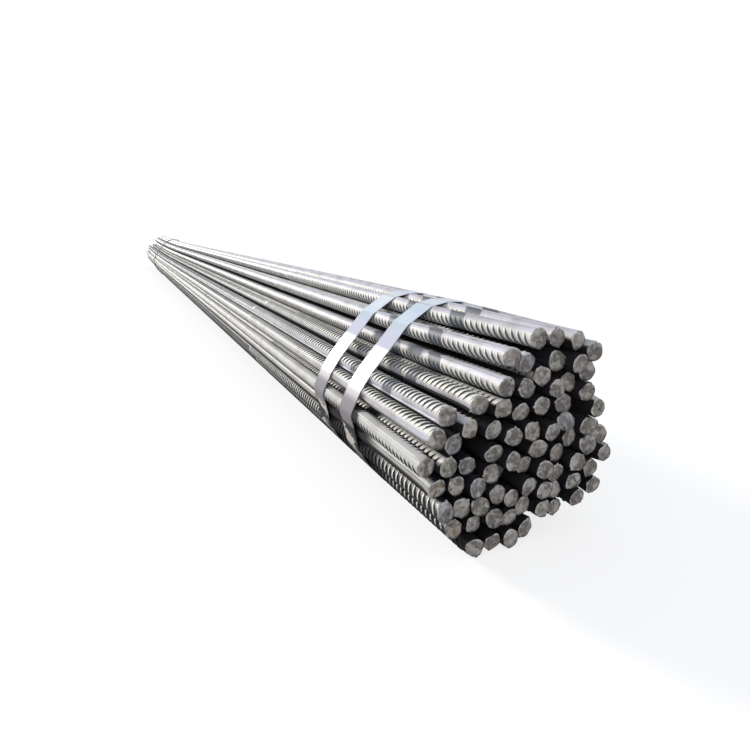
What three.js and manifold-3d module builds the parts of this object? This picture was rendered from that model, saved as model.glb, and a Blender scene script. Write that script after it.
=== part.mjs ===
import * as THREE from 'three';
import { mergeVertices } from 'three/addons/utils/BufferGeometryUtils.js';
import Module from 'manifold-3d';

// A bundle of ribbed reinforcing bars, all of one length, in rough layers. Two flat
// steel straps hold it close to one end and a wire tie holds it towards the other.
// Millimetres, +Z up. The bars run along Y, and the strapped end is at -Y.

// Bars
const BAR_LENGTH = 6000;
const BAR_DIAMETER = 26; // a 25 mm bar, measured half way up its ribs
const BAR_SIDES = 10;
const END_STAGGER = 14; // most that two bars differ along Y
const SET_BACK = 40; // of a bar that lies back in the gap between others
const BAR_GAP = 1; // least between neighbouring bars, from the strapped end to the straps
const SETTLING_ROUNDS = 100; // enough to move the bars apart to within 0.01 mm

// Each layer from the floor up: about where its bars end, across the bundle and above
// the floor.
const LAYERS = [
  [[-58, 5], [-26, 13], [-5, 4], [18, 21]],
  [[-85, 39], [-56, 33], [-27, 47], [-3, 27], [17, 48], [42, 48], [75, 39], [105, 51]],
  [[-100, 71], [-74, 68], [-51, 64], [-24, 77], [-1, 62], [20, 81], [47, 68], [71, 61],
    [98, 72], [136, 61]],
  [[-110, 102], [-87, 103], [-54, 94], [-32, 103], [-6, 92, SET_BACK], [19, 108], [46, 100],
    [68, 92], [103, 101], [130, 86]],
  [[-130, 134], [-100, 130], [-70, 119], [-31, 133], [-5, 120], [31, 132], [74, 116],
    [89, 135], [114, 125], [147, 107]],
  [[-115, 167], [-90, 154], [-71, 171], [-31, 163], [-6, 153], [23, 153], [55, 153],
    [76, 164], [115, 151], [141, 133]],
  [[-102, 192], [-55, 200], [-21, 191], [8, 182]],
  [[-23, 221], [12, 214], [39, 187], [58, 206], [70, 186], [87, 212], [103, 201], [127, 174]],
  [[-14, 255], [9, 246], [39, 224], [67, 242], [86, 238], [109, 227]],
  [[26, 275], [54, 274], [91, 263], [109, 251]],
];

// Lands that join the bars of a layer, left where the gaps between them are cut
const LAND_THICKNESS = 8;
const LAND_START = 70; // from the bar ends, which stand free of each other

// Straps and tie, placed by their distance from the strapped end
const STRAP_WIDTH = 50;
const STRAP_THICKNESS = 1;
const STRAPS = { strap_outer: 265, strap_inner: 397 };
const STRAPPED_WIDTH = 0.985; // share that the straps leave of the width of the lowest bars
const STRAPPED_HEIGHT = 0.98; // share that they leave of the height along the middle
const NARROWER = 0.0009; // less of the width for each millimetre above the lowest bars
const LOWER = 0.0006; // less of the height for each millimetre to the left of the middle
const FLOOR_SPACING = 30; // between the bars that the bundle lies on
const TIGHT_SIZE = 0.975; // share of its size at the straps that the bundle keeps further along
const STRAP_SEAT_MARGIN = 15; // straight length of bar on each side of the straps
const LAP_START = 139; // degrees round from +X where the strap's inner end lies
const LAP_END = 192; // degrees where its outer end lies
const TIE_WIRE = 5;
const TIE_PLACE = 4760;
const TIE_OVERLAP = 40; // degrees by which the tie's two ends pass each other
const ROUND_STEP = 15; // degrees between the points of a band or wire where it bends round a bar
const SEAT_GAP = 0.5; // from the bars to what is drawn round them

// Upward curve of the free end
const CURVE_START = 3800;
const CURVE_HEIGHT = 25;

const STEEL = new THREE.MeshStandardMaterial({ color: 0xa9a69c, roughness: 0.45, metalness: 0.9 });
const STRAP_STEEL = new THREE.MeshStandardMaterial({ color: 0xd9dbe0, roughness: 0.3, metalness: 1 });
const WIRE_STEEL = new THREE.MeshStandardMaterial({ color: 0x4a4844, roughness: 0.6, metalness: 0.8 });

const wasm = await Module();
wasm.setup();

function toSolid(geometry) {
  geometry.deleteAttribute('normal');
  geometry.deleteAttribute('uv');
  const merged = mergeVertices(geometry);
  return new wasm.Manifold(new wasm.Mesh({
    numProp: 3,
    vertProperties: new Float32Array(merged.attributes.position.array),
    triVerts: new Uint32Array(merged.index.array),
  }));
}

function toGeometry(solid) {
  const { vertProperties, triVerts } = solid.getMesh();
  const geometry = new THREE.BufferGeometry();
  geometry.setAttribute('position', new THREE.BufferAttribute(vertProperties, 3));
  geometry.setIndex(new THREE.BufferAttribute(triVerts, 1));
  return geometry;
}

// Repeatable scatter between -0.5 and 0.5 for one bar.
function scatter(layer, bar) {
  const value = Math.sin(layer * 12.9898 + bar * 78.233) * 43758.5453;
  return value - Math.floor(value) - 0.5;
}

const RADIUS = BAR_DIAMETER / 2;

// Changes the width and the height of the bundle about the floor line under its middle,
// so the lowest bars stay level.
function resize({ x, y }, width, height) {
  return new THREE.Vector2(x * width, RADIUS + (y - RADIUS) * height);
}

// The straps pull the bundle in: it narrows towards its top and sinks towards its left.
function strapIn(place) {
  const width = STRAPPED_WIDTH - NARROWER * (place.y - RADIUS);
  const height = STRAPPED_HEIGHT + LOWER * place.x;
  return resize(place, width, height);
}

// From the straps on, the lowest layer lies level on the floor and carries the others.
function layLevel(places) {
  const lowest = LAYERS[0].map((_, index) => new THREE.Vector2(places[0].x + index * FLOOR_SPACING, RADIUS));
  return [...lowest, ...places.slice(lowest.length)];
}

// Moves each pair of bars that are too close apart by equal steps, over and over, and
// keeps every bar above the floor.
function pushApart(places) {
  const spacing = BAR_DIAMETER + BAR_GAP;
  const moved = places.map((place) => place.clone());
  for (let round = 0; round < SETTLING_ROUNDS; round++) {
    moved.forEach((place, index) => {
      place.y = Math.max(place.y, RADIUS);
      for (const other of moved.slice(0, index)) {
        const apart = place.clone().sub(other);
        if (apart.length() >= spacing) continue;
        apart.setLength((spacing - apart.length()) / 2);
        place.add(apart);
        other.sub(apart);
      }
    });
  }
  return moved;
}

const ends = LAYERS.flat().map(([x, height]) => new THREE.Vector2(x, height));
const loose = pushApart(ends);
const strapped = pushApart(layLevel(loose.map(strapIn)));
const tight = strapped.map((place) => resize(place, TIGHT_SIZE, TIGHT_SIZE));

// Where the bars lie at distances from the strapped end; they run straight in between.
const strapPlaces = Object.values(STRAPS);
const seatStart = Math.min(...strapPlaces) - STRAP_WIDTH / 2 - STRAP_SEAT_MARGIN;
const seatEnd = Math.max(...strapPlaces) + STRAP_WIDTH / 2 + STRAP_SEAT_MARGIN;
const COURSE = [
  { at: 0, places: loose },
  { at: seatStart, places: strapped },
  { at: seatEnd, places: strapped },
  { at: CURVE_START, places: tight },
  { at: BAR_LENGTH + END_STAGGER + SET_BACK, places: tight },
];

function riseAt(distance) {
  const past = Math.max(0, distance - CURVE_START) / (BAR_LENGTH - CURVE_START);
  return CURVE_HEIGHT * past ** 2;
}

// Centre of a bar at a distance along the bundle.
function barCentre(bar, distance) {
  const next = Math.max(1, COURSE.findIndex(({ at }) => at > distance));
  const [from, to] = [COURSE[next - 1], COURSE[next]];
  const share = (distance - from.at) / (to.at - from.at);
  const { x, y } = from.places[bar.number].clone().lerp(to.places[bar.number], share);
  return new THREE.Vector3(x, distance, y + riseAt(distance));
}

const STATIONS = [seatStart, seatEnd, CURVE_START, TIE_PLACE];

// Joins equal rings of points, one at each station, into a closed solid.
function loft(rings) {
  const sides = rings[0].length;
  const triangles = [];
  for (let ring = 0; ring + 1 < rings.length; ring++) {
    for (let side = 0; side < sides; side++) {
      const a = ring * sides + side;
      const b = ring * sides + (side + 1) % sides;
      triangles.push(a, a + sides, b, b, a + sides, b + sides);
    }
  }
  const last = (rings.length - 1) * sides;
  for (let side = 1; side + 1 < sides; side++) {
    triangles.push(0, side, side + 1);
    triangles.push(last, last + side + 1, last + side);
  }
  const geometry = new THREE.BufferGeometry().setFromPoints(rings.flat());
  geometry.setIndex(triangles);
  return toSolid(geometry);
}

function barSolid(bar) {
  const distances = [bar.shift, ...STATIONS, BAR_LENGTH + bar.shift];
  return loft(distances.map((distance) => {
    const centre = barCentre(bar, distance);
    return Array.from({ length: BAR_SIDES }, (_, side) => {
      const angle = (side + 0.5) * 2 * Math.PI / BAR_SIDES;
      const offset = new THREE.Vector3(Math.cos(angle), 0, Math.sin(angle));
      return centre.clone().addScaledVector(offset, RADIUS);
    });
  }));
}

// The land between two neighbours, from centre line to centre line.
function landSolid(left, right) {
  const distances = [LAND_START, ...STATIONS, BAR_LENGTH - LAND_START];
  return loft(distances.map((distance) => {
    const [from, to] = [barCentre(left, distance), barCentre(right, distance)];
    const along = to.clone().sub(from).normalize();
    const half = new THREE.Vector3(-along.z, 0, along.x).multiplyScalar(LAND_THICKNESS / 2);
    return [from.clone().sub(half), to.clone().sub(half), to.clone().add(half), from.clone().add(half)];
  }));
}

function layerGeometry(bars) {
  let solid = barSolid(bars[0]);
  for (let index = 1; index < bars.length; index++) {
    solid = solid.add(landSolid(bars[index - 1], bars[index])).add(barSolid(bars[index]));
  }
  return toGeometry(solid);
}

function outwardAt(degrees) {
  const angle = THREE.MathUtils.degToRad(degrees);
  return new THREE.Vector3(Math.cos(angle), 0, Math.sin(angle));
}

// Outline of what is drawn tight round the bars: in each direction it lies outside the
// bar that stands out furthest. It has points where it leaves one bar and meets the
// next, and a few round each bar. Each point has its direction and that bar's centre.
function drawnRound(bars, distance, fullTurn) {
  const centres = bars.map((bar) => barCentre(bar, distance));
  const points = [];
  for (let degrees = 0; degrees <= fullTurn; degrees++) {
    const outward = outwardAt(degrees);
    const further = (best, one) => (one.dot(outward) > best.dot(outward) ? one : best);
    points.push({ degrees, outward, centre: centres.reduce(further) });
  }
  return points.filter(({ degrees, centre }, index) => {
    const neighbours = [points[index - 1] ?? points[360], points[index + 1] ?? points[1]];
    return degrees % ROUND_STEP === 0 || neighbours.some((other) => other.centre !== centre);
  });
}

// A strap is one band, double where its outer end laps over its inner end.
function strapGeometry(bars, distance) {
  const inside = RADIUS + SEAT_GAP;
  const flat = ({ centre, outward }, reach) => {
    const point = centre.clone().addScaledVector(outward, reach);
    return new THREE.Vector2(point.x, point.z);
  };
  const outer = [];
  const inner = [];
  for (const point of drawnRound(bars, distance, 359)) {
    const lapped = point.degrees > LAP_START && point.degrees <= LAP_END;
    outer.push(flat(point, inside + STRAP_THICKNESS * (lapped ? 2 : 1)));
    if (point.degrees === LAP_END) outer.push(flat(point, inside + STRAP_THICKNESS));
    inner.push(flat(point, inside));
  }
  const shape = new THREE.Shape(outer);
  shape.holes.push(new THREE.Path(inner));
  const geometry = new THREE.ExtrudeGeometry(shape, { depth: STRAP_WIDTH, bevelEnabled: false });
  geometry.rotateX(Math.PI / 2);
  geometry.translate(0, distance + STRAP_WIDTH / 2, 0);
  return toGeometry(toSolid(geometry));
}

// The tie's centre line: once round the bars, and its ends pass side by side.
class TieLine extends THREE.Curve {
  constructor(bars) {
    super();
    const reach = RADIUS + SEAT_GAP + TIE_WIRE / 2;
    this.points = drawnRound(bars, TIE_PLACE, 360 + TIE_OVERLAP).map(({ degrees, outward, centre }) => {
      const sideways = (degrees / 360 - 0.5) * (TIE_WIRE + SEAT_GAP);
      return centre.clone().addScaledVector(outward, reach).add(new THREE.Vector3(0, sideways, 0));
    });
  }

  // Evenly spaced shares fall on the points, so the wire is straight between them.
  getUtoTmapping(share) {
    return share;
  }

  getPoint(share, target = new THREE.Vector3()) {
    const place = share * (this.points.length - 1);
    const index = Math.min(Math.floor(place), this.points.length - 2);
    return target.lerpVectors(this.points[index], this.points[index + 1], place - index);
  }
}

function tieGeometry(bars) {
  const section = new THREE.Shape().absarc(0, 0, TIE_WIRE / 2, 0, 2 * Math.PI);
  const extrudePath = new TieLine(bars);
  const steps = extrudePath.points.length - 1;
  const options = { steps, curveSegments: 4, extrudePath };
  return toGeometry(toSolid(new THREE.ExtrudeGeometry(section, options)));
}

let number = 0;
const layers = LAYERS.map((places, layer) => places.map(([, , setBack = 0], index) => {
  return { number: number++, shift: setBack + END_STAGGER * scatter(layer, index) };
}));
const allBars = layers.flat();
const bundle = new THREE.Group();

function addPiece(name, geometry, material) {
  const mesh = new THREE.Mesh(geometry, material);
  mesh.name = name;
  bundle.add(mesh);
}

layers.forEach((bars, index) => {
  addPiece(`bar_layer_${String(index + 1).padStart(2, '0')}`, layerGeometry(bars), STEEL);
});
for (const [name, distance] of Object.entries(STRAPS)) {
  addPiece(name, strapGeometry(allBars, distance), STRAP_STEEL);
}
addPiece('tie_wire', tieGeometry(allBars), WIRE_STEEL);

// The origin is on the floor, under the middle of the bundle.
const box = new THREE.Box3().setFromObject(bundle);
const middle = box.getCenter(new THREE.Vector3());
bundle.position.set(-middle.x, -middle.y, -box.min.z);

export default bundle;
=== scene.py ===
import math
import random

import bmesh
import bpy
import numpy as np
from mathutils import Matrix, Vector


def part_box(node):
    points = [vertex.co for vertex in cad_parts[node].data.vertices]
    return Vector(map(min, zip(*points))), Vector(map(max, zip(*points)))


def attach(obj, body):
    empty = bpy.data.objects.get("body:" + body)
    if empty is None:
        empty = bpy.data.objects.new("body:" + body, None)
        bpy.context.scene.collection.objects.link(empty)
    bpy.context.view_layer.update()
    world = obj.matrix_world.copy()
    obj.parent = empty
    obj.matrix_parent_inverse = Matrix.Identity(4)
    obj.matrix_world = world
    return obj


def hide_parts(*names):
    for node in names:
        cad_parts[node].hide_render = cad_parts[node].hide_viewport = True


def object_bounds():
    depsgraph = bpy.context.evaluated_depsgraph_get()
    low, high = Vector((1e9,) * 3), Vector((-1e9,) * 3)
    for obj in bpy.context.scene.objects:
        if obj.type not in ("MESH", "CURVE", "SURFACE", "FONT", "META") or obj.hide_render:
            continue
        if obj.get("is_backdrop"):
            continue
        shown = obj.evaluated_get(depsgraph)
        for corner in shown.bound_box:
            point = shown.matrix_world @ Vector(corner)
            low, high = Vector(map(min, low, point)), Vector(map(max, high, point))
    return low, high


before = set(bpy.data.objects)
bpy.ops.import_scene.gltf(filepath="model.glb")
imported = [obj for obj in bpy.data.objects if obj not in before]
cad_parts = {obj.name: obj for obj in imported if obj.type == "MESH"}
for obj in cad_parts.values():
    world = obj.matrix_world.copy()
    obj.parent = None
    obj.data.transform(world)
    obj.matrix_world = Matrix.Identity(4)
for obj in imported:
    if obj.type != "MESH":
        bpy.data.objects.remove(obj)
cad_low, cad_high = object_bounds()

# ---------------------------------------------------------------------------
# Ribbed bars. Hot-rolled carbon steel, 25 mm nominal, 6 m long: a round core with two
# long ridges, and slanting crescent ribs rolled into both sides between the ridges.
# They are sheared to length, stacked in rough layers and held only by what is tied round.
# ---------------------------------------------------------------------------
BAR_LENGTH = 6.0
CORE_RADIUS = 0.0121
CORE_SIDES = 24
RIDGE_HEIGHT = 0.0017
RIDGE_TAPER = 0.8  # share of its width that a ridge keeps at its top
RIB_REACH = 0.0138  # from the bar's centre line to the top of its ribs
SUNK = 0.0004  # how far a rib's root lies inside the core
RIB_PITCH = 0.0125
RIB_ARC = math.radians(124)
RIB_SLANT = 0.0145  # along the bar, from one end of a rib to its other end
RIB_FULLNESS = 2.2  # the higher, the further from its middle a rib keeps its height
RIB_FALL = 0.85  # the lower, the more steeply it falls to its ends
FIRST_RIB = 0.0115  # from the bar's near end to the middle of its first rib
LAST_RIB = 0.016  # about as much at its far end
# Sections along the bar of a rib that is seen close to, and of one that isn't: place along
# the bar and share of height. With each goes the number of steps in the rib's arc.
FINE_RIB, FINE_STEPS = [(-0.0028, 0), (-0.0014, 1), (0.0014, 1), (0.0028, 0)], 6
FAR_RIB, FAR_STEPS = [(-0.0028, 0), (-0.0012, 1), (0.0028, 0)], 3


def in_scene(name, data):
    thing = bpy.data.objects.new(name, data)
    bpy.context.scene.collection.objects.link(thing)
    return thing


def finished_mesh(bm, name):
    mesh = bpy.data.meshes.new(name)
    bm.to_mesh(mesh)
    bm.free()
    return mesh


def as_mesh(thing):
    """What an object's curve or modifier makes; the object itself is removed."""
    ready = thing.evaluated_get(bpy.context.evaluated_depsgraph_get())
    mesh = bpy.data.meshes.new_from_object(ready)
    bpy.data.objects.remove(thing)
    return mesh


def repeated(mesh, count, step):
    """A row of copies of a mesh along Y, as one mesh."""
    thing = in_scene(mesh.name, mesh)
    row = thing.modifiers.new("row", "ARRAY")
    row.count = count
    row.use_relative_offset = False
    row.use_constant_offset = True
    row.constant_offset_displace = (0, step, 0)
    return as_mesh(thing)


def verts_in(geometry):
    return [one for one in geometry if isinstance(one, bmesh.types.BMVert)]


def edges_in(geometry):
    return [one for one in geometry if isinstance(one, bmesh.types.BMEdge)]


def swell_at(side):
    """Share of its height that a rib has, from its middle at 0 to its ends at -1 and 1."""
    return np.maximum(0, 1 - np.abs(side) ** RIB_FULLNESS) ** RIB_FALL


def rib_pair(profile, steps):
    """One crescent on each side of the core, half a pitch apart."""
    bm = bmesh.new()
    low = CORE_RADIUS - SUNK
    top = RIB_REACH / math.sqrt(math.cos(RIB_ARC / steps / 2))
    corners = [bm.verts.new((top if share else low, along, 0)) for along, share in profile]
    section = bm.faces.new(corners)
    bmesh.ops.rotate(bm, verts=corners, matrix=Matrix.Rotation(-RIB_ARC / 2, 3, "Y"))
    bmesh.ops.translate(bm, verts=corners, vec=(0, -RIB_SLANT / 2, 0))
    bmesh.ops.spin(
        bm, geom=[section, *section.edges, *corners], cent=(0, 0, 0), axis=(0, 1, 0),
        dvec=(0, RIB_SLANT / steps, 0), angle=RIB_ARC, steps=steps, use_merge=False,
        use_duplicate=False)
    for vert in bm.verts:
        side = math.atan2(vert.co.z, vert.co.x) / (RIB_ARC / 2)
        reach = math.hypot(vert.co.x, vert.co.z)
        wanted = low + (reach - low) * swell_at(side)
        vert.co.x *= wanted / reach
        vert.co.z *= wanted / reach
    other = verts_in(bmesh.ops.duplicate(bm, geom=bm.verts[:] + bm.edges[:] + bm.faces[:])["geom"])
    bmesh.ops.scale(bm, verts=other, vec=(-1, 1, 1))
    bmesh.ops.translate(bm, verts=other, vec=(0, RIB_PITCH / 2, 0))
    bmesh.ops.recalc_face_normals(bm, faces=bm.faces)
    return finished_mesh(bm, "rib_pair")


def rib_rows(fine_length, far_length):
    """The ribs of one bar: fine ones from its near end and plainer ones up to its far end."""
    bm = bmesh.new()
    fine_count, far_count = round(fine_length / RIB_PITCH), round(far_length / RIB_PITCH)
    far_start = BAR_LENGTH - LAST_RIB - (far_count - 1) * RIB_PITCH
    far_start = FIRST_RIB + round((far_start - FIRST_RIB) / RIB_PITCH) * RIB_PITCH
    for profile, steps, count, start in ((FINE_RIB, FINE_STEPS, fine_count, FIRST_RIB),
                                         (FAR_RIB, FAR_STEPS, far_count, far_start)):
        row = repeated(rib_pair(profile, steps), count, RIB_PITCH)
        row.transform(Matrix.Translation((0, start, 0)))
        bm.from_mesh(row)
    return bm


# Rings of points on a cut face: depth from the cut, and share of the core's size.
CUT_RINGS = [(0.0, 0.3), (0.0, 0.64), (0.0001, 0.9), (0.0008, 1.0)]
# Where the core has rings of points further on: close together where it is cut and bent.
STATIONS = [0.0025, 0.005, 0.009, 0.016, 0.05, 0.12, 0.18, 0.205, 0.225, 0.245, 0.28, 0.36, 0.42,
            0.437, 0.46, 0.5, 0.7, 1.4, 2.3, 3.2, 3.8, 4.2, 4.6, 5.0, 5.4, 5.7, 5.9, 5.984, 5.991,
            5.995, 5.9975]
ROLLED_FACE, CUT_FACE = 0, 1  # the places of a bar's two materials


def plain_core():
    """The core with its two ridges and its two cut faces."""
    bm = bmesh.new()
    bmesh.ops.create_circle(bm, cap_ends=False, segments=CORE_SIDES, radius=CORE_RADIUS)
    bmesh.ops.rotate(bm, verts=bm.verts, matrix=Matrix.Rotation(math.radians(90), 3, "X"))
    half_side = Matrix.Rotation(math.pi / CORE_SIDES, 3, "Y")
    bmesh.ops.rotate(bm, verts=bm.verts, matrix=half_side)
    for side in (1, -1):
        outermost = max(bm.edges, key=lambda edge: side * (edge.verts[0].co.z + edge.verts[1].co.z))
        corners = verts_in(bmesh.ops.extrude_edge_only(bm, edges=[outermost])["geom"])
        bmesh.ops.translate(bm, verts=corners, vec=(0, 0, side * RIDGE_HEIGHT))
        bmesh.ops.scale(bm, verts=corners, vec=(RIDGE_TAPER, 1, 1))
        bmesh.ops.delete(bm, geom=[outermost], context="EDGES")
    rings = [*CUT_RINGS, *[(place, 1.0) for place in STATIONS],
             *[(BAR_LENGTH - depth, share) for depth, share in reversed(CUT_RINGS)]]
    edges = bm.edges[:]
    bmesh.ops.scale(bm, verts=bm.verts, vec=(rings[0][1], 1, rings[0][1]))
    for (place, share), (next_place, next_share) in zip(rings, rings[1:]):
        grown = bmesh.ops.extrude_edge_only(bm, edges=edges)["geom"]
        edges, verts = edges_in(grown), verts_in(grown)
        bmesh.ops.translate(bm, verts=verts, vec=(0, next_place - place, 0))
        bmesh.ops.scale(bm, verts=verts, vec=(next_share / share, 1, next_share / share))
        for face in grown:
            if isinstance(face, bmesh.types.BMFace):
                face.material_index = CUT_FACE if min(share, next_share) < 1 else ROLLED_FACE
    rims = [edge for edge in bm.edges if edge.is_boundary]
    cuts = bmesh.ops.holes_fill(bm, edges=rims, sides=0)["faces"]
    for face in cuts:
        face.material_index = CUT_FACE
    bmesh.ops.poke(bm, faces=cuts)
    bmesh.ops.recalc_face_normals(bm, faces=bm.faces)
    return bm


def connect(tree, made, inputs):
    """Gives inputs of a node a value each, or another node's output."""
    for name, value in inputs.items():
        if isinstance(value, bpy.types.NodeSocket):
            tree.links.new(value, made.inputs[name])
        else:
            made.inputs[name].default_value = value


def add(tree, kind, inputs=None, **settings):
    """A shader node with its settings and inputs."""
    made = tree.nodes.new("ShaderNode" + kind)
    for name, value in settings.items():
        setattr(made, name, value)
    connect(tree, made, inputs or {})
    return made


def own_place(tree):
    return add(tree, "TexCoord").outputs["Object"]


def xyz(tree, vector):
    return add(tree, "SeparateXYZ", {0: vector}).outputs


def noise(tree, place, scale, detail=3.0):
    return add(tree, "TexNoise", {"Vector": place, "Scale": scale, "Detail": detail}).outputs["Fac"]


def stretched(tree, place, stretch):
    return add(tree, "VectorMath", {0: place, 1: stretch}, operation="MULTIPLY").outputs[0]


def between(tree, value, low, high, to_low=0.0, to_high=1.0):
    """A value's course from low to high, smoothed and spread over another range."""
    limits = {"From Min": low, "From Max": high, "To Min": to_low, "To Max": to_high}
    return add(tree, "MapRange", {"Value": value, **limits}, interpolation_type="SMOOTHSTEP").outputs[0]


def maths(tree, operation, one, other=0.0):
    return add(tree, "Math", {0: one, 1: other}, operation=operation).outputs[0]


def multiply(tree, one, other):
    return maths(tree, "MULTIPLY", one, other)


def most(tree, first, *others):
    """The highest of several values."""
    for other in others:
        first = maths(tree, "MAXIMUM", first, other)
    return first


def within(tree, value, rise, fall, share=1.0):
    """A share that comes within one range of a value and goes within another."""
    return multiply(tree, between(tree, value, *rise), between(tree, value, *fall, share, 0))


def blend(tree, share, one, other):
    return add(tree, "Mix", {0: share, 6: one, 7: other}, data_type="RGBA").outputs[2]


def new_material(name):
    material = bpy.data.materials.new(name)
    material.use_nodes = True
    tree = material.node_tree
    return material, tree, tree.nodes["Principled BSDF"]


# What rolling, handling and weather leave on all the steel: streaks along the bars,
# blotches a few centimetres across and a fine grain.
steel_marks = bpy.data.node_groups.new("steel_marks", "ShaderNodeTree")
steel_marks.interface.new_socket("Place", in_out="INPUT", socket_type="NodeSocketVector")
for mark in ("Streaks", "Blotches", "Grain"):
    steel_marks.interface.new_socket(mark, in_out="OUTPUT", socket_type="NodeSocketFloat")
mark_place = steel_marks.nodes.new("NodeGroupInput").outputs[0]
connect(steel_marks, steel_marks.nodes.new("NodeGroupOutput"), {
    "Streaks": noise(steel_marks, stretched(steel_marks, mark_place, (1, 0.06, 1)), 330),
    "Blotches": noise(steel_marks, stretched(steel_marks, mark_place, (1, 0.5, 1)), 45),
    "Grain": noise(steel_marks, mark_place, 1400, 2.0)})


def marks_of(tree):
    marks = tree.nodes.new("ShaderNodeGroup")
    marks.node_tree = steel_marks
    tree.links.new(own_place(tree), marks.inputs[0])
    return marks.outputs


# Each bar carries two attributes. One holds the tone of its cuts, its share of blue
# or rust, how far a point is sheltered, and how far it lies on its bar's low right side;
# the last two lead the painted shade between bars and on the low right rims of its cuts.
# rib_place holds how many ribs a point lies from the near end, how far a rib stands out
# there, and the point's distance from the centre line, as a share of the core's radius.
def tone_and_shade(tree):
    attribute = add(tree, "Attribute", attribute_name="tone_and_shade").outputs
    return add(tree, "SeparateColor", {0: attribute["Color"]}).outputs, attribute["Alpha"]


def rib_place(tree):
    return xyz(tree, add(tree, "Attribute", attribute_name="rib_place").outputs["Vector"])


# Colours of the rolled skin. Ranges below are heights above the floor in metres, and
# places along a bar are counted in ribs.
STREAK_GREY, STREAK_OLIVE = (0.44, 0.43, 0.44, 1), (0.55, 0.54, 0.47, 1)
BLUED_GREY = (0.45, 0.45, 0.48, 1)
# The plain strip low down and high up: lighter and bluer higher up, as painted sky light.
LOW_STRIP, HIGH_STRIP = (0.36, 0.36, 0.335, 1), (0.46, 0.455, 0.52, 1)
MILL_SCALE = (0.22, 0.2, 0.18, 1)
# Rib tops: rub wear, and a painted highlight.
RUBBED_HIGHLIT_TOP = (0.68, 0.67, 0.6, 1)
# Painted shadow beside each rib, darker low down and lighter higher up.
LOW_RIB_SHADOW, HIGH_RIB_SHADOW = (0.02, 0.02, 0.025, 1), (0.09, 0.088, 0.1, 1)
FAR_GREY = (0.33, 0.33, 0.33, 1)
# Black of dirt and of painted shade.
SHADE_AND_DIRT = (0.012, 0.011, 0.014, 1)
# Painted shadow of a strap on the upper bars.
STRAP_SHADOW = (0.06, 0.07, 0.09, 1)
# Painted shade where bars shelter each other.
DEEP_SHADE = (0.006, 0.006, 0.009, 1)
# Between these ribs a band of painted strap shadow lies on the upper bars, one before each strap.
STRAP_SHADOW_RIBS = ((10.2, 13.2), (20.8, 23.8))
STRAP_SHADOW_FADE = 0.2  # ribs on each side of a painted shadow band's edges


def rolled_skin(tree, marks, blue_share, ribs, off_rib, height):
    """The skin: streaks, a plain strip past the ribs' ends that is lighter and bluer higher up as painted
    sky light, scale, and rib tops lighter from rub wear and a painted highlight.
    """
    swell = ribs["Y"]
    colour = blend(tree, between(tree, marks["Streaks"], 0.35, 0.65), STREAK_GREY, STREAK_OLIVE)
    colour = blend(tree, between(tree, blue_share, 0, 1, 0, 0.5), colour, BLUED_GREY)
    # Painted sky light: the plain strip is lighter and bluer on the higher bars.
    strip = blend(tree, between(tree, height, 0.12, 0.19), LOW_STRIP, HIGH_STRIP)
    colour = blend(tree, between(tree, swell, 0.1, 0.6, 0.85, 0), colour, strip)
    scale = multiply(tree, between(tree, marks["Blotches"], 0.42, 0.66), 0.4)
    colour = blend(tree, scale, colour, MILL_SCALE)
    # Rib tops lighter, partly from rub wear and partly as a painted highlight.
    rubbed_highlit = multiply(tree, between(tree, off_rib, 0.09, 0.13, 0.6, 0), swell)
    return blend(tree, rubbed_highlit, colour, RUBBED_HIGHLIT_TOP)


def painted_rib_shadow(tree, ribs, height):
    """Painted shadow of each rib, on the side of it that faces the near end, wider low down."""
    along, swell = ribs["X"], ribs["Y"]
    past_rib = maths(tree, "FRACT", along)
    edge = maths(tree, "SUBTRACT", past_rib, between(tree, swell, 0.5, 1, 0.2, 0))
    edge = maths(tree, "ADD", edge, between(tree, height, 0.17, 0.23, 0.07, 0))
    foot = multiply(tree, between(tree, edge, 0.61, 0.69), between(tree, past_rib, 0.86, 0.92, 0.92, 0))
    foot = multiply(tree, foot, between(tree, swell, 0.4, 0.9))
    return multiply(tree, foot, between(tree, along, 25, 88, 1, 0.3))


def dirt_and_painted_shade(tree, along, off_rib, height):
    """Dirt and painted shade: between the ribs low down, round the straps, near the floor and on the low
    undersides.
    """
    # Painted shade in the hollows between the ribs low down.
    between_ribs = multiply(
        tree, between(tree, height, 0.072, 0.09, 0.97, 0), between(tree, off_rib, 0.17, 0.25))
    # Dirt and painted shade round the straps, low down.
    round_straps = multiply(
        tree, within(tree, along, (9, 15), (30, 36)), between(tree, height, 0.1, 0.135, 0.97, 0))
    before_strap = multiply(
        tree, within(tree, along, (15, 16.4), (19, 20.5)), between(tree, height, 0.15, 0.172, 0.95, 0))
    # Painted shade along the bottom, near the floor.
    lowest = between(tree, height, 0.03, 0.046, 0.97, 0)
    facing_up = xyz(tree, add(tree, "NewGeometry").outputs["Normal"])["Z"]
    # Painted shade on the undersides of the lower bars.
    shade_underneath = multiply(
        tree, between(tree, facing_up, -0.2, 0.05, 0.98, 0), between(tree, height, 0.1, 0.13, 1, 0))
    return most(tree, between_ribs, round_straps, before_strap, lowest, shade_underneath)


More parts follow.
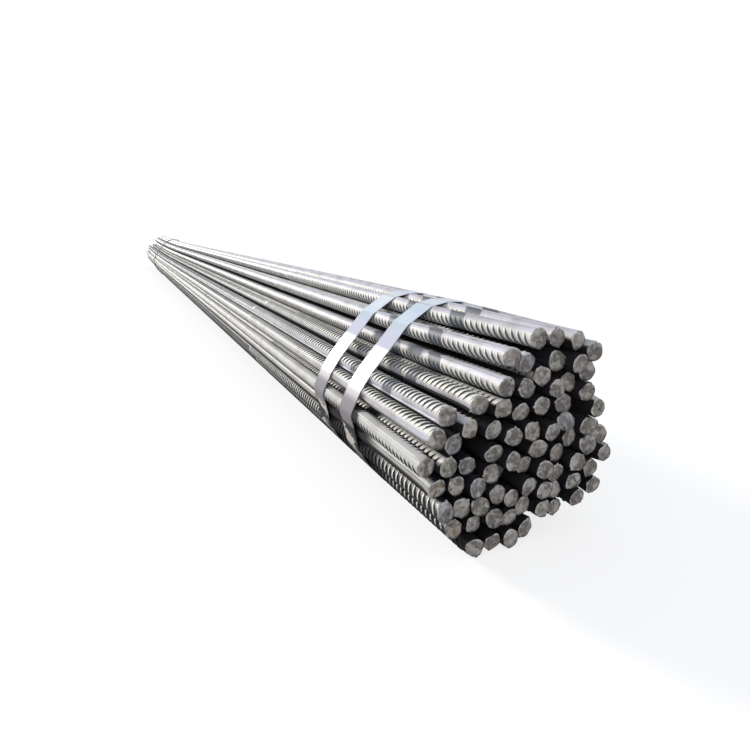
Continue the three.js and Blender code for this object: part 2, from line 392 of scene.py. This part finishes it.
# Painted shade darkens the bars where they shelter each other, a painted shadow lies at
# the foot of each rib, and the rib tops are lighter, partly rub wear and partly a painted highlight.
def rolled_steel():
    material, tree, shader = new_material("rolled_bar_steel")
    marks = marks_of(tree)
    look, _ = tone_and_shade(tree)
    ribs = rib_place(tree)
    along = ribs["X"]
    off_rib = maths(tree, "PINGPONG", along, 0.5)
    height = xyz(tree, own_place(tree))["Z"]
    colour = rolled_skin(tree, marks, look["Green"], ribs, off_rib, height)
    # Painted shadow of each rib, on its side towards the near end.
    rib_shadow_colour = blend(tree, between(tree, height, 0.17, 0.23), LOW_RIB_SHADOW, HIGH_RIB_SHADOW)
    colour = blend(tree, painted_rib_shadow(tree, ribs, height), colour, rib_shadow_colour)
    colour = blend(tree, between(tree, along, 20, 200, 0, 0.3), colour, FAR_GREY)
    # Dirt and painted shade low down, round the straps and underneath.
    dirt_and_shade = dirt_and_painted_shade(tree, along, off_rib, height)
    colour = blend(tree, dirt_and_shade, colour, SHADE_AND_DIRT)
    # Painted shadows of the straps, a little before each strap.
    for first, last in STRAP_SHADOW_RIBS:
        strap_shadow = within(tree, along, (first - STRAP_SHADOW_FADE, first + STRAP_SHADOW_FADE),
                       (last - STRAP_SHADOW_FADE, last + STRAP_SHADOW_FADE), 0.8)
        high_up = between(tree, height, 0.162, 0.182)
        colour = blend(tree, multiply(tree, strap_shadow, high_up), colour, STRAP_SHADOW)
    # Painted shade where neighbouring bars hide a bar's side.
    shade = multiply(tree, between(tree, look["Blue"], 0.2, 1), between(tree, along, 20, 200, 0.98, 0.95))
    colour = blend(tree, shade, colour, DEEP_SHADE)
    grain = add(tree, "Bump", {"Height": marks["Grain"], "Strength": 0.25, "Distance": 0.0002})
    connect(tree, shader, {
        "Base Color": colour, "Metallic": 0.1, "Specular IOR Level": 0.2,
        "Roughness": most(tree, between(tree, marks["Grain"], 0.3, 0.7, 0.5, 0.65), shade, dirt_and_shade),
        "Normal": grain.outputs[0]})
    return material


# Tones that a cut face can have, along the range of tone_and_shade's red share.
CUT_TONES = [(0.0, (0.264, 0.233, 0.211, 1)), (0.3, (0.326, 0.295, 0.268, 1)),
             (0.5, (0.264, 0.255, 0.198, 1)), (0.66, (0.326, 0.29, 0.268, 1)),
             (0.8, (0.246, 0.189, 0.141, 1)), (0.9, (0.29, 0.317, 0.361, 1)),
             (1.0, (0.185, 0.145, 0.154, 1))]
RUST = (0.24, 0.16, 0.1, 1)
# Torn facets, painted shaded and lit.
SHADED_FACET, LIT_FACET = (0.08, 0.069, 0.062, 1), (0.58, 0.55, 0.52, 1)
DARK_PATCH, LIGHT_PATCH = (0.2, 0.18, 0.16, 1), (0.6, 0.58, 0.56, 1)
# Rim colours: a burr with a painted highlight, and painted shade low on the right.
HIGHLIT_BURR_RIM, LOW_RIGHT_RIM_SHADE = (0.58, 0.555, 0.52, 1), (0.03, 0.027, 0.027, 1)
DARK_TEAR, LIGHT_TEAR = (0.09, 0.078, 0.07, 1), (0.58, 0.55, 0.52, 1)
PIT = (0.035, 0.03, 0.03, 1)


# The shear leaves torn facets, pits and patches and a burr at the rim. The facets are painted
# lit and shaded, the rim is lighter, partly burr and partly a painted highlight, and painted shade
# darkens it on the low right.
def sheared_steel():
    material, tree, shader = new_material("sheared_bar_steel")
    marks = marks_of(tree)
    look, low_right = tone_and_shade(tree)
    tones = add(tree, "ValToRGB", {0: look["Red"]})
    stops = tones.color_ramp.elements
    stops[0].color, stops[1].color = CUT_TONES[0][1], CUT_TONES[-1][1]
    for share, tone in CUT_TONES[1:-1]:
        stops.new(share).color = tone
    place = own_place(tree)
    patches, torn = noise(tree, place, 130), noise(tree, place, 170, 1)
    facets = add(tree, "TexVoronoi", {"Vector": place, "Scale": 75}).outputs
    facet_lighting = add(tree, "SeparateColor", {0: facets["Color"]}).outputs["Red"]
    rusty = multiply(tree, between(tree, marks["Blotches"], 0.45, 0.7),
                     between(tree, look["Green"], 0.2, 1, 0, 0.7))
    colour = blend(tree, rusty, tones.outputs[0], RUST)
    # Painted shade and light on the torn facets.
    colour = blend(tree, between(tree, facet_lighting, 0.45, 0.6, 0, 0.75), colour, SHADED_FACET)
    colour = blend(tree, between(tree, facet_lighting, 0.15, 0.25, 0.4, 0), colour, LIT_FACET)
    colour = blend(tree, between(tree, patches, 0.42, 0.62, 0, 0.3), colour, DARK_PATCH)
    colour = blend(tree, between(tree, patches, 0.3, 0.46, 0.4, 0), colour, LIGHT_PATCH)
    outward = rib_place(tree)["Z"]
    # Lighter rim: partly a burr, partly a painted highlight.
    highlit_rim = multiply(tree, between(tree, outward, 0.74, 0.93), between(tree, patches, 0.4, 0.62, 0, 0.85))
    colour = blend(tree, highlit_rim, colour, HIGHLIT_BURR_RIM)
    # Painted shade on the low right of the rim.
    rim_shade = multiply(tree, between(tree, outward, 0.72, 0.86), between(tree, low_right, 0.5, 0.75, 0, 0.9))
    colour = blend(tree, rim_shade, colour, LOW_RIGHT_RIM_SHADE)
    colour = blend(tree, between(tree, torn, 0.5, 0.62, 0, 0.4), colour, DARK_TEAR)
    colour = blend(tree, between(tree, torn, 0.34, 0.46, 0.3, 0), colour, LIGHT_TEAR)
    pits = multiply(tree, between(tree, facets["Distance"], 0.1, 0.28, 1, 0),
                    between(tree, facets["Color"], 0.5, 0.56))
    colour = blend(tree, multiply(tree, pits, 0.85), colour, PIT)
    dents = add(tree, "Bump", {"Height": patches, "Strength": 0.5, "Distance": 0.001})
    connect(tree, shader, {
        "Base Color": colour, "Metallic": 0.1,
        "Roughness": between(tree, marks["Grain"], 0.3, 0.7, 0.45, 0.65), "Normal": dents.outputs[0]})
    return material


rolled, sheared = rolled_steel(), sheared_steel()


def mark_ribs(mesh):
    """Gives a straight bar its rib_place."""
    places = np.empty(len(mesh.vertices) * 3)
    mesh.vertices.foreach_get("co", places)
    x, y, z = places.reshape(-1, 3).T
    round_side = np.arctan2(z, np.abs(x)) / RIB_ARC
    first = FIRST_RIB + np.where(x > 0, 0, RIB_PITCH / 2)
    count = (y - first + RIB_SLANT * round_side) / RIB_PITCH
    marks = np.column_stack([count, swell_at(2 * round_side), np.hypot(x, z) / CORE_RADIUS])
    mesh.attributes.new("rib_place", "FLOAT_VECTOR", "POINT").data.foreach_set("vector", marks.ravel())


def straight_bar(fine_length, far_length):
    bm = rib_rows(fine_length, far_length)
    bm.from_mesh(finished_mesh(plain_core(), "core"))
    mesh = finished_mesh(bm, "straight_bar")
    mesh.shade_smooth()
    mesh.set_sharp_from_angle(angle=math.radians(50))
    mesh.materials.append(rolled)
    mesh.materials.append(sheared)
    mark_ribs(mesh)
    return mesh


END_SPREAD = 0.065  # within this length of the bundle's end lie all its bars' ends


def bar_ends(node, toward):
    """Centres of a layer's cut faces at one end, from left to right."""
    bm = bmesh.new()
    bm.from_mesh(node.data)
    bmesh.ops.remove_doubles(bm, verts=bm.verts, dist=1e-6)
    bmesh.ops.dissolve_limit(bm, angle_limit=math.radians(1), verts=bm.verts, edges=bm.edges)
    limit = (cad_high.y if toward > 0 else -cad_low.y) - END_SPREAD
    centres = [
        face.calc_center_bounds() for face in bm.faces
        if face.normal.y * toward > 0.999 and face.calc_center_bounds().y * toward > limit]
    bm.free()
    return sorted(centres, key=lambda centre: centre.x)


# Each bar runs straight from its near end to its place under the straps, along under
# them, and on to where the bundle is tightest, from where its free end lifts in a long
# curve. The tight part is the strapped part made smaller about one line, at the height of
# the lowest bars' centres. The values repeat those of the part's source, in metres and
# in this frame.
FIRST_STRAP = 0.265  # from the bars' near ends to the middle of the nearer strap
SEAT_MARGIN = 0.015
CURVE_START = 3.8
CURVE_LIFT = 0.025
TIGHT_SIZE = 0.975
TIGHT_ABOUT = Vector((-0.00866, 0.0145))
strap_boxes = [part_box("strap_outer"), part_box("strap_inner")]
near_plane = (strap_boxes[0][0].y + strap_boxes[0][1].y) / 2 - FIRST_STRAP
seat_start = min(low.y for low, high in strap_boxes) - SEAT_MARGIN
seat_end = max(high.y for low, high in strap_boxes) + SEAT_MARGIN
curve_start = near_plane + CURVE_START


def lift(y):
    return CURVE_LIFT * (np.maximum(0, y - curve_start) / (near_plane + BAR_LENGTH - curve_start)) ** 2


def centre_line(bar, y):
    """Where a bar's centre lies, across and up, at each place along the bundle."""
    near, far = bar["near"], bar["far"]
    tight = Vector((far.x, far.z - lift(far.y)))
    strapped = TIGHT_ABOUT + (tight - TIGHT_ABOUT) / TIGHT_SIZE
    places = [near.y, seat_start, seat_end, curve_start]
    across = np.interp(y, places, [near.x, strapped.x, strapped.x, tight.x])
    return across, np.interp(y, places, [near.z, strapped.y, strapped.y, tight.y]) + lift(y)


def eased_line(bar, y, ease=0.045):
    """The same, with its corners eased."""
    before, here, after = (centre_line(bar, y + step) for step in (-ease, 0, ease))
    return [(a + 2 * b + c) / 4 for a, b, c in zip(before, here, after)]


bars = []
for number in range(1, 11):
    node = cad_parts[f"bar_layer_{number:02d}"]
    for place, (near, far) in enumerate(zip(bar_ends(node, -1), bar_ends(node, 1))):
        bars.append({"layer": number, "place": place, "near": near, "far": far})

# How open each bar lies: in which directions round it nothing else stands before it.
LOOK_ROUND = range(0, 360, 10)


def outward_at(degrees):
    return Vector((math.cos(math.radians(degrees)), math.sin(math.radians(degrees))))


def is_open(centre, others, outward):
    start = centre + outward * RIB_REACH
    for other in others:
        ahead = (other - start).dot(outward)
        if ahead > 0 and (other - start - outward * ahead).length < RIB_REACH:
            return False
    return True


middle_y = (seat_start + seat_end) / 2
sections = [Vector(centre_line(bar, middle_y)) for bar in bars]
for bar, centre in zip(bars, sections):
    others = [other for other in sections if other is not centre]
    bar["open"] = [is_open(centre, others, outward_at(degrees)) for degrees in LOOK_ROUND]

# Lengths that are ribbed, finely and then plainly, on bars that lie outside, show
# through the gaps between those, or lie deep inside or against the floor.
FINE_LENGTH = 1.05
UNRIBBED = 0.02
KINDS = {"outside": (FINE_LENGTH, BAR_LENGTH - FINE_LENGTH - UNRIBBED), "behind": (0.85, 0.2),
         "inside": (0.12, 0.12)}
straight = {kind: straight_bar(*lengths) for kind, lengths in KINDS.items()}

# Which way one ridge of a bar faces, in degrees from +X, by layer and place in it.
RIDGES = {(10, 0): 286, (10, 1): 284, (10, 2): 280, (10, 3): 276, (9, 0): 292, (8, 0): 299,
          (7, 0): 29, (7, 1): 29, (6, 0): 10, (5, 0): 312, (4, 0): 345, (3, 0): 258, (2, 0): 255,
          (1, 0): 280, (9, 5): 70, (8, 6): 70, (8, 7): 61, (6, 8): 61, (6, 9): 104, (5, 9): 60,
          (4, 9): 60, (3, 9): 104}
# Bars whose cut face differs in tone from the plain grey ones, and its place among CUT_TONES:
# 0.5 is olive, 0.8 brown, 0.9 bluish and 1 purple.
END_TONES = {(5, 2): 0.9, (3, 0): 0.9, (6, 1): 0.9, (4, 2): 0.9, (9, 1): 0.92, (9, 5): 0.88,
             (6, 7): 0.88, (4, 0): 0.8, (2, 0): 0.8, (6, 0): 0.78, (3, 9): 0.8, (6, 2): 0.5,
             (5, 1): 0.5, (3, 2): 0.52, (7, 2): 0.5, (4, 4): 0.5, (2, 7): 1.0}
PLAIN_TONES = (0, 0.68)
UPPER_LAYERS = range(7, 11)
UPPER_LEFT_SHADE = 0.45  # share of its shade that the outermost left bar of these keeps
FLOOR_WAYS = (220, 320)  # degrees between which a bar looks at the floor


def sheltered(bar, at_degrees):
    """How far each side of a bar is hidden by its neighbours, from 0 to 1."""
    hidden = 1.0 - np.array(bar["open"])
    covered = np.prod([np.roll(hidden, step) for step in range(-2, 3)], axis=0)
    shade = np.interp(at_degrees % 360, [*LOOK_ROUND, 360], [*covered, covered[0]])
    outermost = bar["place"] == 0 and bar["layer"] in UPPER_LAYERS
    return shade * (UPPER_LEFT_SHADE if outermost else 1)


# What the shear does to an end: lengths in metres, shares of the core's radius, and
# slopes. Of two values, each end gets one at random between them.
BENT_LENGTH = 0.018
SQUASH = (0.05, 0.17)
SPREAD = 0.04
FLATS = 7
FLAT_REACH = (0.9, 1.08)
FLATTENED = 0.9  # share of what stands past a flat that is pressed in
TORN_LENGTH = 0.010
TILT = (0.02, 0.12)
ROLLED_FROM, ROLLED_DEPTH = 0.45, (0.001, 0.006)
FOLD_FROM, FOLD_DEPTH = (-0.4, 0.4), (0, 0.0035)
WAVE_ACROSS, WAVE_ALONG = (0.0004, 420, 90), (0.0003, 560, 70)  # height, closeness, shift
FULL_TURN = (0, 2 * math.pi)


def wave(place, tilt, height, closeness, shift):
    return height * np.sin(place * closeness + tilt * shift)


def shear_end(x, y, z, end, dice):
    """Squashes a bar's end, flattens it in places and tears its cut face, all in place."""
    inward = np.abs(y - end)
    fade = np.clip(1 - inward / BENT_LENGTH, 0, 1)
    way, squash = dice.uniform(*FULL_TURN), dice.uniform(*SQUASH)
    across = (x * math.cos(way) + z * math.sin(way)) * squash * fade
    x += across * math.cos(way) + SPREAD * fade * x
    z += across * math.sin(way) + SPREAD * fade * z
    for _ in range(FLATS):
        angle = dice.uniform(*FULL_TURN)
        cut = CORE_RADIUS * dice.uniform(*FLAT_REACH)
        over = np.maximum(0, x * math.cos(angle) + z * math.sin(angle) - cut) * fade * FLATTENED
        x -= over * math.cos(angle)
        z -= over * math.sin(angle)
    way, tilt = dice.uniform(*FULL_TURN), dice.uniform(*TILT)
    across = x * math.cos(way) + z * math.sin(way)
    along = x * math.sin(way) - z * math.cos(way)
    rolled_over = np.maximum(0, across / CORE_RADIUS - ROLLED_FROM) ** 2 * dice.uniform(*ROLLED_DEPTH)
    folded = np.maximum(0, along / CORE_RADIUS - dice.uniform(*FOLD_FROM)) * dice.uniform(*FOLD_DEPTH)
    waves = wave(across, tilt, *WAVE_ACROSS) + wave(along, tilt, *WAVE_ALONG)
    toward = 1 if end == 0 else -1
    torn = tilt * across + toward * (rolled_over + folded) + waves
    y += np.clip(1 - inward / TORN_LENGTH, 0, 1) * torn


def lay_bar(bar, dice):
    """Turns one straight bar, shears its ends, and bends it to its centre line."""
    above_floor = sum(
        open_way for degrees, open_way in zip(LOOK_ROUND, bar["open"])
        if not FLOOR_WAYS[0] < degrees < FLOOR_WAYS[1])
    kind = "outside" if above_floor > 2 else "behind" if above_floor else "inside"
    mesh = straight[kind].copy()
    points = np.empty(len(mesh.vertices) * 3)
    mesh.vertices.foreach_get("co", points)
    x, y, z = points.reshape(-1, 3).T.copy()
    turn = math.radians(RIDGES.get((bar["layer"], bar["place"]), dice.uniform(0, 180)) - 90)
    x, z = x * math.cos(turn) - z * math.sin(turn), x * math.sin(turn) + z * math.cos(turn)
    shelter = sheltered(bar, np.degrees(np.arctan2(z, x)))
    low_right = np.clip(0.5 + (0.45 * x - 0.5 * z) / RIB_REACH, 0, 1)
    for end in (0, BAR_LENGTH):
        shear_end(x, y, z, end, dice)
    y += bar["near"].y
    middle_x, middle_z = eased_line(bar, y)
    mesh.vertices.foreach_set("co", np.column_stack([x + middle_x, y, z + middle_z]).ravel())
    tone = END_TONES.get((bar["layer"], bar["place"]), dice.uniform(*PLAIN_TONES))
    look = np.tile([tone, dice.random()], (len(shelter), 1))
    tones = mesh.color_attributes.new("tone_and_shade", "FLOAT_COLOR", "POINT")
    tones.data.foreach_set("color", np.column_stack([look, shelter, low_right]).ravel())
    return mesh


def joined(meshes, name):
    things = [in_scene(name, mesh) for mesh in meshes]
    with bpy.context.temp_override(active_object=things[0], object=things[0], selected_objects=things,
                                   selected_editable_objects=things):
        bpy.ops.object.join()
    things[0].name = name
    return things[0]


dice = random.Random(25)
for number in range(1, 11):
    meshes = [lay_bar(bar, dice) for bar in bars if bar["layer"] == number]
    piece = joined(meshes, f"ribbed_bars_{number:02d}")
    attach(piece, "root")
    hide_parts(f"bar_layer_{number:02d}")

# ---------------------------------------------------------------------------
# Two flat straps. Bright cold-rolled steel strip, 50 mm wide and about 1 mm thick, drawn
# tight round the bars; the outer end of each laps over its inner end on the left side.
# ---------------------------------------------------------------------------
STRAP_WIDTH = 0.05
STRAP_THICKNESS = 0.0009
STRAP_REACH = 0.0136  # from a bar's centre line to the band's inner face
STRAP_SHARES = (-0.5, -0.2, 0.2, 0.5)  # of its width, where it has lines of points
STRAP_STEP = 0.004
INNER_END = 138  # degrees round from +X on the bar where the band begins
INNER_CUT = 0.034  # how much past that bar its end lies
OUTER_END = 194
OUTER_CUT = 0.046
LAP_GAP = 0.0001
LAP_START, LAP_TURN = 12, 10  # degrees before its inner end, and those in which it rises over it


def drawn_round(y, reach_at, first, last):
    """Points of a line pulled tight round the bars, one for each degree that it turns."""
    centres = [Vector(centre_line(bar, y)) for bar in bars]
    points = []
    for degrees in range(first, last + 1):
        outward = outward_at(degrees)
        points.append(max(centres, key=lambda centre: centre.dot(outward)) + outward * reach_at(degrees))
    return np.array(points)


def evenly(points, step, cut_first=0.0, cut_last=0.0):
    """Points at even steps along a line, which is cut short at its two ends."""
    lengths = np.concatenate([[0], np.cumsum(np.linalg.norm(np.diff(points, axis=0), axis=1))])
    count = round((lengths[-1] - cut_first - cut_last) / step)
    places = np.linspace(cut_first, lengths[-1] - cut_last, count + 1)
    return np.column_stack([np.interp(places, lengths, column) for column in points.T])


def strap_reach(degrees):
    """From a bar's centre line to the band, which lies on its own inner end where it laps."""
    lapped = min(1, max(0, (degrees - 360 - INNER_END + LAP_START) / LAP_TURN))
    return STRAP_REACH + lapped * (STRAP_THICKNESS + LAP_GAP)


def strap_mesh(y):
    line = drawn_round(y, strap_reach, INNER_END, 360 + OUTER_END)
    line = evenly(line, STRAP_STEP, INNER_CUT, OUTER_CUT)
    bm = bmesh.new()
    corners = [bm.verts.new((line[0][0], y + STRAP_WIDTH * share, line[0][1])) for share in STRAP_SHARES]
    edges = [bm.edges.new(pair) for pair in zip(corners, corners[1:])]
    for here, there in zip(line, line[1:]):
        grown = bmesh.ops.extrude_edge_only(bm, edges=edges)["geom"]
        edges = [edge for edge in edges_in(grown) if len(edge.link_faces) == 1
                 and abs(edge.verts[0].co.y - edge.verts[1].co.y) > 0.001]
        bmesh.ops.translate(bm, verts=verts_in(grown), vec=(there[0] - here[0], 0, there[1] - here[1]))
    bmesh.ops.recalc_face_normals(bm, faces=bm.faces)
    bmesh.ops.solidify(bm, geom=bm.faces[:], thickness=STRAP_THICKNESS)
    bmesh.ops.recalc_face_normals(bm, faces=bm.faces)
    mesh = finished_mesh(bm, "strap_band")
    mesh.shade_smooth()
    mesh.set_sharp_from_angle(angle=math.radians(40))
    return mesh


# Colours of a strap. Ranges of its height are in metres above the floor. Lower down it is darkened by
# painted shade.
BRIGHT_BLUE, BRIGHT_GREY = (0.42, 0.50, 0.61, 1), (0.54, 0.58, 0.63, 1)
SCRATCH = (0.42, 0.43, 0.46, 1)
# Lilac patch over the lap: painted shading.
LILAC, BLUISH = (0.5, 0.51, 0.6, 1), (0.45, 0.515, 0.58, 1)
# Painted shade below the lap, and darker still towards the bottom.
SHADED_LOW_SIDE = (0.37, 0.35, 0.37, 1)
VIOLET_SHADE = (0.17, 0.158, 0.18, 1)
BEIGE_FOOT = (0.5, 0.465, 0.42, 1)
STRAP_CAKE = (0.012, 0.011, 0.012, 1)


def strap_skin():
    material, tree, shader = new_material("strap_steel")
    marks = marks_of(tree)
    place = own_place(tree)
    height = xyz(tree, place)["Z"]
    scratches = noise(tree, stretched(tree, place, (0.05, 1, 0.05)), 900)
    smears = noise(tree, stretched(tree, place, (1, 0.4, 1)), 22)
    colour = blend(tree, between(tree, smears, 0.35, 0.65), BRIGHT_BLUE, BRIGHT_GREY)
    colour = blend(tree, between(tree, scratches, 0.55, 0.75, 0, 0.35), colour, SCRATCH)
    # Painted shading on the lilac patch where the band steps over its inner end.
    lap_shading = within(tree, height, (0.216, 0.226), (0.258, 0.272))
    patch_colour = blend(tree, between(tree, height, 0.246, 0.252), LILAC, BLUISH)
    colour = blend(tree, lap_shading, colour, patch_colour)
    # Painted shade below the lap.
    colour = blend(tree, between(tree, height, 0.216, 0.222, 1, 0), colour, SHADED_LOW_SIDE)
    # Painted shade, darker towards the bottom.
    low_shade = between(tree, height, 0.14, 0.168, 0.8, 0)
    colour = blend(tree, low_shade, colour, VIOLET_SHADE)
    foot = between(tree, height, 0.1, 0.112, 1, 0)
    colour = blend(tree, foot, colour, BEIGE_FOOT)
    caked = multiply(tree, foot, between(tree, marks["Blotches"], 0.46, 0.52))
    caked = most(tree, caked, between(tree, height, 0.048, 0.06, 1, 0))
    colour = blend(tree, caked, colour, STRAP_CAKE)
    scored = add(tree, "Bump", {"Height": scratches, "Strength": 0.1, "Distance": 0.0001})
    connect(tree, shader, {
        "Base Color": colour, "Metallic": 0.2, "Specular IOR Level": 0.3,
        "Roughness": most(tree, between(tree, smears, 0.3, 0.7, 0.35, 0.45), low_shade, lap_shading),
        "Normal": scored.outputs[0]})
    return material


strap_steel = strap_skin()
for name in ("strap_outer", "strap_inner"):
    low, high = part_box(name)
    piece = in_scene(name + "_band", strap_mesh((low.y + high.y) / 2))
    piece.data.materials.append(strap_steel)
    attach(piece, "root")
    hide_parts(name)

# ---------------------------------------------------------------------------
# Wire tie. Dark annealed 5 mm wire, once round the far part, its ends side by side.
# It holds the free end of the bundle together.
# ---------------------------------------------------------------------------
WIRE_RADIUS = 0.0025
WIRE_REACH = 0.016  # from a bar's centre line to the wire's
WIRE_STEP = 0.005
WIRE_TURN = 400  # degrees from one end of the wire to its other end
WIRE_SHIFT = 0.0055  # along the bundle, from one end to the other
DARK_WIRE, BROWN_WIRE = (0.05, 0.045, 0.04, 1), (0.14, 0.11, 0.09, 1)


def wire_mesh(y):
    line = evenly(drawn_round(y, lambda degrees: WIRE_REACH, 0, WIRE_TURN), WIRE_STEP)
    curve = bpy.data.curves.new("tie_line", "CURVE")
    curve.dimensions = "3D"
    curve.bevel_depth = WIRE_RADIUS
    curve.bevel_resolution = 2
    curve.use_fill_caps = True
    wire_line = curve.splines.new("POLY")
    wire_line.points.add(len(line) - 1)
    for index, (point, (x, z)) in enumerate(zip(wire_line.points, line)):
        point.co = (x, y + (index / len(line) - 0.5) * WIRE_SHIFT, z, 1)
    mesh = as_mesh(in_scene("bent_wire", curve))
    mesh.shade_smooth()
    return mesh


wire_steel, tree, shader = new_material("wire_steel")
connect(tree, shader, {
    "Base Color": blend(tree, marks_of(tree)["Blotches"], DARK_WIRE, BROWN_WIRE),
    "Metallic": 0.5, "Roughness": 0.55})
low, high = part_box("tie_wire")
piece = in_scene("tie_wire_round", wire_mesh((low.y + high.y) / 2))
piece.data.materials.append(wire_steel)
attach(piece, "root")
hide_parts("tie_wire")

# ---------------------------------------------------------------------------
# Pale floor, soft sky light, a warm key light from behind, high on the left, and a weak
# fill light from the near left. Floor and sky look lighter than the light they give.
# ---------------------------------------------------------------------------
FLOOR_RADIUS = 60
FLOOR_GREY = (0.22, 0.22, 0.22, 1)
FLOOR_GLOW = 0.78
SKY_BLUE, SKY_STRENGTH = (0.86, 0.91, 1, 1), 0.8
WHITE = (1, 1, 1, 1)


def seen_directly(tree):
    """One where a ray comes from the camera, a reflection or through glass."""
    path = add(tree, "LightPath").outputs
    seen = maths(tree, "ADD", path["Is Camera Ray"], path["Is Glossy Ray"])
    return most(tree, seen, path["Is Transmission Ray"])


bm = bmesh.new()
bmesh.ops.create_circle(bm, cap_ends=True, segments=64, radius=FLOOR_RADIUS)
floor = in_scene("floor", finished_mesh(bm, "floor"))
floor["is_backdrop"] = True
pale, tree, shader = new_material("pale_floor")
connect(tree, shader, {
    "Base Color": FLOOR_GREY, "Roughness": 0.9, "Specular IOR Level": 0.0,
    "Emission Color": WHITE, "Emission Strength": multiply(tree, seen_directly(tree), FLOOR_GLOW)})
floor.data.materials.append(pale)

world = bpy.data.worlds.new("studio")
bpy.context.scene.world = world
world.use_nodes = True
tree = world.node_tree
sky = tree.nodes["Background"]
connect(tree, sky, {"Color": SKY_BLUE, "Strength": SKY_STRENGTH})
white = add(tree, "Background", {"Color": WHITE, "Strength": 1.0})
mix = add(tree, "MixShader", {0: seen_directly(tree), 1: sky.outputs[0], 2: white.outputs[0]})
connect(tree, tree.nodes["World Output"], {"Surface": mix.outputs[0]})

# Each lamp's strength, spread in degrees, colour and direction towards it.
LAMPS = {"key": (3.7, 10, (1, 0.97, 0.9), (-0.42, 0.84, 0.34)),
         "fill": (0.55, 25, (1, 0.98, 0.96), (-0.6, -0.75, 0.25))}
for name, (strength, spread, tint, toward) in LAMPS.items():
    lamp = in_scene(name, bpy.data.lights.new(name, "SUN"))
    lamp.data.energy = strength
    lamp.data.angle = math.radians(spread)
    lamp.data.color = tint
    lamp.rotation_mode = "QUATERNION"
    lamp.rotation_quaternion = Vector(toward).to_track_quat("Z", "Y")

# The camera stands before the near end, to the left of the bundle and above it.
IMAGE_WIDTH, FOCAL_LENGTH = 750, 575  # in pixels
SENSOR_WIDTH = 36
CAMERA_PLACE = (-0.4486, -3.5614, 0.4104)
RIGHT, UP = Vector((0.9133, -0.4074, 0)), Vector((0.1025, 0.2298, 0.9678))
AHEAD = Vector((0.3942, 0.8839, -0.2516))
camera = in_scene("camera", bpy.data.cameras.new("camera"))
camera.data.lens = SENSOR_WIDTH * FOCAL_LENGTH / IMAGE_WIDTH
camera.data.sensor_width = SENSOR_WIDTH
camera.data.clip_start, camera.data.clip_end = 0.05, 200
camera.matrix_world = Matrix((RIGHT, UP, -AHEAD)).transposed().to_4x4()
camera.location = CAMERA_PLACE
bpy.context.scene.camera = camera
bpy.context.scene.view_settings.view_transform = "Standard"

low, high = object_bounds()
